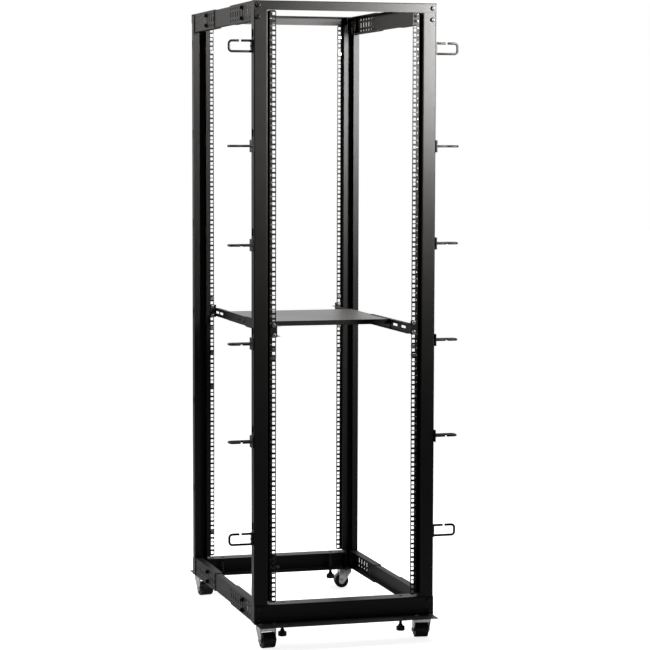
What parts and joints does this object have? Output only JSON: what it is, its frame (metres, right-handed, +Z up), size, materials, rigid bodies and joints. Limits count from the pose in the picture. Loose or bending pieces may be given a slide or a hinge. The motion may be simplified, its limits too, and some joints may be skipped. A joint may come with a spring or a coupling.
{
  "type": "open frame equipment rack",
  "caption": "Tall open four post rack of folded black sheet with square-hole mounting strips, a telescoping shelf, side cable rings, casters and levelling feet",
  "frame": {"origin": "on the floor, at the middle of the plan", "axes": "+X to the right seen from the front, +Y towards the rear, +Z up"},
  "size_m": [0.7598, 1.01, 2.045],
  "materials": {
    "frame_black": "fine texture black powder coat, satin",
    "shelf_black": "satin black powder coat",
    "zinc": "bright zinc plated",
    "wheel_black": "hard moulded wheel, slightly glossy",
    "foot_black": "moulded levelling pad, matt"
  },
  "bodies": {
    "frame": {"post_front_left": "frame_black", "post_front_right": "frame_black", "post_rear_left": "frame_black", "post_rear_right": "frame_black", "top_rail_bracket_front_left": "frame_black", "top_rail_bracket_front_right": "frame_black", "top_rail_bracket_rear_left": "frame_black", "top_rail_bracket_rear_right": "frame_black", "top_rail_channel_left": "frame_black", "top_rail_channel_right": "frame_black", "top_beam_front": "frame_black", "top_beam_rear": "frame_black", "base_rail_bracket_front_left": "frame_black", "base_rail_bracket_front_right": "frame_black", "base_rail_bracket_rear_left": "frame_black", "base_rail_bracket_rear_right": "frame_black", "base_rail_channel_left": "frame_black", "base_rail_channel_right": "frame_black", "base_beam_front": "frame_black", "base_beam_rear": "frame_black", "shelf_tray": "shelf_black", "shelf_arm_front_left": "shelf_black", "shelf_arm_front_right": "shelf_black", "shelf_arm_rear_left": "shelf_black", "shelf_arm_rear_right": "shelf_black", "cable_rings_left": "frame_black", "cable_rings_right": "frame_black", "caster_plate_front_left": "zinc", "caster_plate_front_right": "zinc", "caster_plate_rear_left": "zinc", "caster_plate_rear_right": "zinc"},
    "fork_front_left": {"caster_fork_front_left": "zinc"},
    "wheel_front_left": {"caster_wheel_front_left": "wheel_black"},
    "foot_front_left": {"levelling_foot_front_left": "foot_black"},
    "fork_front_right": {"caster_fork_front_right": "zinc"},
    "wheel_front_right": {"caster_wheel_front_right": "wheel_black"},
    "foot_front_right": {"levelling_foot_front_right": "foot_black"},
    "fork_rear_left": {"caster_fork_rear_left": "zinc"},
    "wheel_rear_left": {"caster_wheel_rear_left": "wheel_black"},
    "foot_rear_left": {"levelling_foot_rear_left": "foot_black"},
    "fork_rear_right": {"caster_fork_rear_right": "zinc"},
    "wheel_rear_right": {"caster_wheel_rear_right": "wheel_black"},
    "foot_rear_right": {"levelling_foot_rear_right": "foot_black"}
  },
  "joints": [
    {"name": "swivel_front_left", "type": "hinge", "parent": "frame", "child": "fork_front_left", "pos_m": [-0.261, -0.44, 0.0665], "axis": [0, 0, 1], "continuous": true},
    {"name": "wheel_spin_front_left", "type": "hinge", "parent": "fork_front_left", "child": "wheel_front_left", "pos_m": [-0.25964, -0.45293, 0.025], "axis": [-0.9945, -0.1045, 0], "continuous": true},
    {"name": "foot_height_front_left", "type": "slide", "parent": "frame", "child": "foot_front_left", "axis": [0, 0, 1], "range_m": [-0.031, 0.018]},
    {"name": "swivel_front_right", "type": "hinge", "parent": "frame", "child": "fork_front_right", "pos_m": [0.261, -0.44, 0.0665], "axis": [0, 0, 1], "continuous": true},
    {"name": "wheel_spin_front_right", "type": "hinge", "parent": "fork_front_right", "child": "wheel_front_right", "pos_m": [0.26236, -0.42707, 0.025], "axis": [0.9945, -0.1045, 0], "continuous": true},
    {"name": "foot_height_front_right", "type": "slide", "parent": "frame", "child": "foot_front_right", "axis": [0, 0, 1], "range_m": [-0.026, 0.023]},
    {"name": "swivel_rear_left", "type": "hinge", "parent": "frame", "child": "fork_rear_left", "pos_m": [-0.261, 0.44, 0.0665], "axis": [0, 0, 1], "continuous": true},
    {"name": "wheel_spin_rear_left", "type": "hinge", "parent": "fork_rear_left", "child": "wheel_rear_left", "pos_m": [-0.25852, 0.42724, 0.025], "axis": [-0.9816, -0.1908, 0], "continuous": true},
    {"name": "foot_height_rear_left", "type": "slide", "parent": "frame", "child": "foot_rear_left", "axis": [0, 0, 1], "range_m": [-0.031, 0.018]},
    {"name": "swivel_rear_right", "type": "hinge", "parent": "frame", "child": "fork_rear_right", "pos_m": [0.261, 0.44, 0.0665], "axis": [0, 0, 1], "continuous": true},
    {"name": "wheel_spin_rear_right", "type": "hinge", "parent": "fork_rear_right", "child": "wheel_rear_right", "pos_m": [0.24813, 0.44181, 0.025], "axis": [0.1392, 0.9903, 0], "continuous": true},
    {"name": "foot_height_rear_right", "type": "slide", "parent": "frame", "child": "foot_rear_right", "axis": [0, 0, 1], "range_m": [-0.045, 0.004]}
  ]
}
